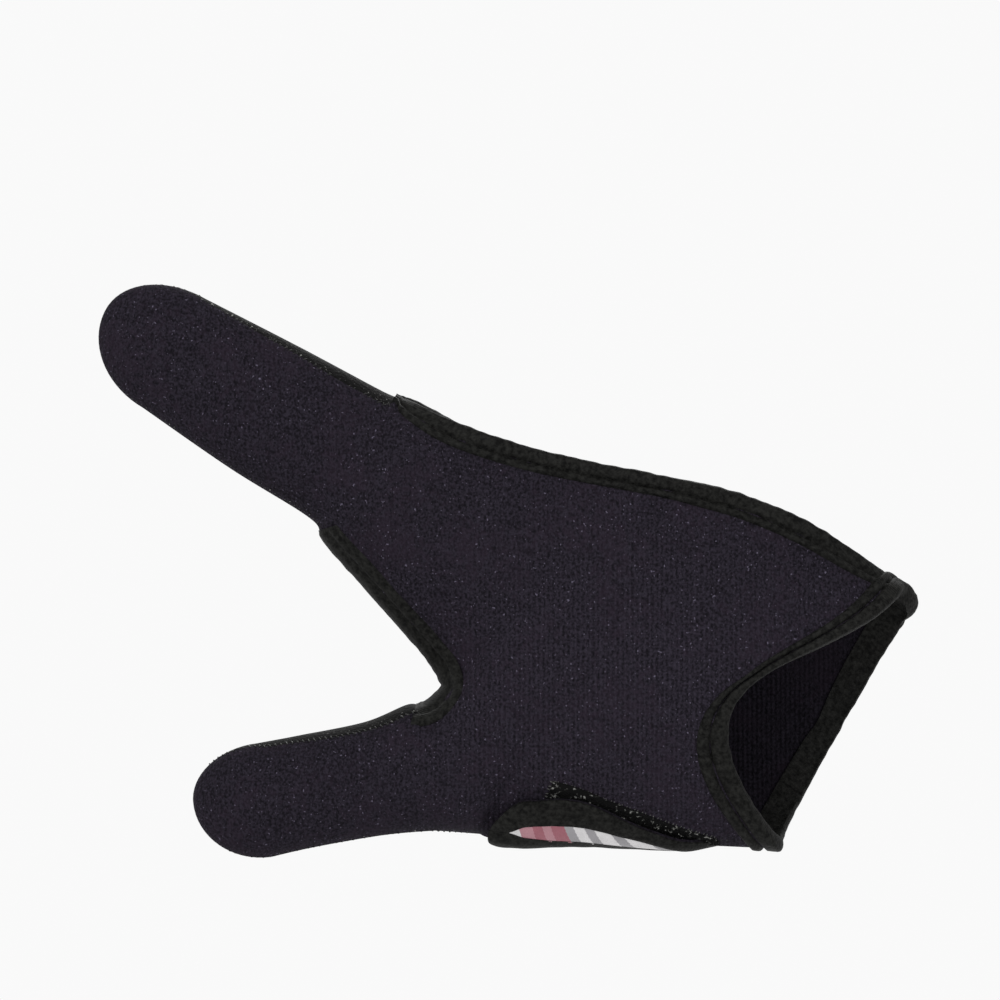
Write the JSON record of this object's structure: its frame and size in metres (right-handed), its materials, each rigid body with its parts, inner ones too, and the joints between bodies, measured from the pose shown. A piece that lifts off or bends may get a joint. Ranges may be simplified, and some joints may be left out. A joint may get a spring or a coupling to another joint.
{
  "type": "fishing glove",
  "caption": "Knit-faced foam glove for the thumb and index finger of a right hand, taped open edges, strap closing on the thumb side.",
  "frame": {"origin": "centre of the wrist opening, in the plane in which the back panel and the palm panel meet", "axes": "-Y out of the back of the hand, +Y out of the palm, the index stall points to -X and +Z, the forearm leaves towards +X and -Z"},
  "size_m": [0.1871, 0.0434, 0.131],
  "materials": {
    "foam_cloth": "charcoal heather jersey knit on foam rubber",
    "palm_cloth": "black grained grip cloth",
    "binding": "near-black stretch binding tape, slight sheen",
    "loop": "black looped pile",
    "hook": "black moulded hook field",
    "label": "woven label, pale grey with a red block"
  },
  "bodies": {
    "root": {"back_panel": "foam_cloth", "palm_panel": "palm_cloth", "knuckle_tape": "binding", "palm_knuckle_tape": "binding", "wrist_tape": "binding", "web_tape": "binding", "strap": "foam_cloth", "strap_tape": "binding", "strap_label": "label", "hook_patch": "hook", "loop_patch": "loop"}
  },
  "joints": []
}
